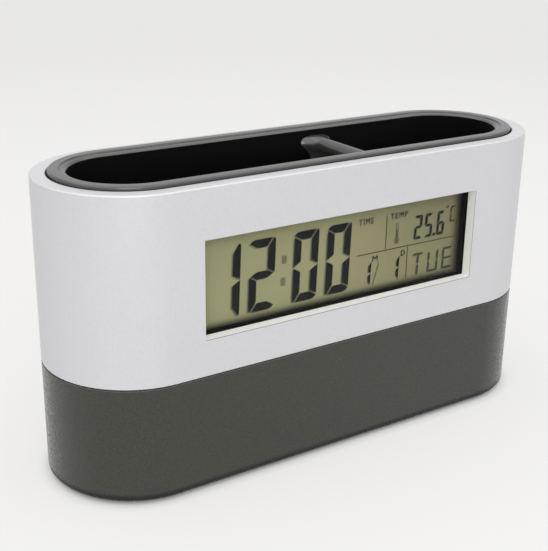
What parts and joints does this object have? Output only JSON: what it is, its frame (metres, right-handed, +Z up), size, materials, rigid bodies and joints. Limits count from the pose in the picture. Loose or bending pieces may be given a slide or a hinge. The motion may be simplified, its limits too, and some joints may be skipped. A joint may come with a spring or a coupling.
{
  "type": "pen holder clock",
  "caption": "Free-standing desk pen holder with divided wells, a front liquid crystal clock window, rear setting buttons and a battery door.",
  "frame": {"origin": "on the table plane, under the middle of the body", "axes": "+X along the body to the right as seen from the front, -Y out of the display, +Z up"},
  "size_m": [0.155, 0.0492, 0.0839],
  "materials": {
    "silver_casing": "fine silver metallic paint on moulded plastic, satin",
    "charcoal_casing": "charcoal paint with a fine metallic fleck, matte",
    "tray_plastic": "dark grey moulded plastic, satin rim and matte wells",
    "clear_window": "clear polished acrylic",
    "lcd_glass": "olive reflective liquid crystal glass, dark segments",
    "reflector_film": "pale olive film",
    "conductive_rubber": "pink striped conductive rubber",
    "circuit_board": "green solder mask",
    "black_plastic": "black moulded plastic",
    "button_plastic": "dark grey moulded plastic",
    "steel": "bright zinc plating",
    "brass": "plain sheet",
    "cell_sleeve": "plain shrink sleeve",
    "red_lead": "insulated wire",
    "black_lead": "insulated wire",
    "grey_ribbon": "flat ribbon cable",
    "foot_rubber": "soft black rubber"
  },
  "bodies": {
    "root": {"upper_sleeve": "silver_casing", "base_shell": "charcoal_casing", "pen_tray": "tray_plastic", "window_lens": "clear_window", "display_holder": "black_plastic", "lcd_front_glass": "lcd_glass", "lcd_rear_glass": "lcd_glass", "lcd_reflector": "reflector_film", "zebra_strip_lower": "conductive_rubber", "zebra_strip_upper": "conductive_rubber", "main_board": "circuit_board", "key_board": "circuit_board", "controller_blob": "black_plastic", "crystal_can": "steel", "thermistor": "black_plastic", "piezo_buzzer": "brass", "battery_box": "black_plastic", "battery_lower": "cell_sleeve", "battery_upper": "cell_sleeve", "bridge_contact": "steel", "negative_contact": "steel", "positive_contact": "steel", "lead_red": "red_lead", "lead_black": "black_lead", "key_ribbon": "grey_ribbon", "mode_switch": "steel", "set_switch": "steel", "up_switch": "steel", "down_switch": "steel", "board_screw_1": "steel", "board_screw_2": "steel", "board_screw_3": "steel", "board_screw_4": "steel", "key_board_screw_left": "steel", "box_screw_left": "steel", "tray_screw_left": "steel", "key_board_screw_right": "steel", "box_screw_right": "steel", "tray_screw_right": "steel", "case_screw_front_left": "steel", "foot_front_left": "foot_rubber", "case_screw_rear_left": "steel", "foot_rear_left": "foot_rubber", "case_screw_front_right": "steel", "foot_front_right": "foot_rubber", "case_screw_rear_right": "steel", "foot_rear_right": "foot_rubber"},
    "mode_button": {"mode_button": "button_plastic", "mode_plunger": "button_plastic"},
    "set_button": {"set_button": "button_plastic", "set_plunger": "button_plastic"},
    "up_button": {"up_button": "button_plastic", "up_plunger": "button_plastic"},
    "down_button": {"down_button": "button_plastic", "down_plunger": "button_plastic"},
    "battery_door": {"battery_door": "charcoal_casing"}
  },
  "joints": [
    {"name": "mode_button_press", "type": "slide", "parent": "root", "child": "mode_button", "axis": [0, -1, 0], "range_m": [0, 0.0005], "stiffness_N_per_m": 300},
    {"name": "set_button_press", "type": "slide", "parent": "root", "child": "set_button", "axis": [0, -1, 0], "range_m": [0, 0.0005], "stiffness_N_per_m": 300},
    {"name": "up_button_press", "type": "slide", "parent": "root", "child": "up_button", "axis": [0, -1, 0], "range_m": [0, 0.0005], "stiffness_N_per_m": 300},
    {"name": "down_button_press", "type": "slide", "parent": "root", "child": "down_button", "axis": [0, -1, 0], "range_m": [0, 0.0005], "stiffness_N_per_m": 300},
    {"name": "battery_door_tilt", "type": "hinge", "parent": "root", "child": "battery_door", "pos_m": [0, 0.0234, 0.0057], "axis": [-1, 0, 0], "range_deg": [0, 75]}
  ]
}
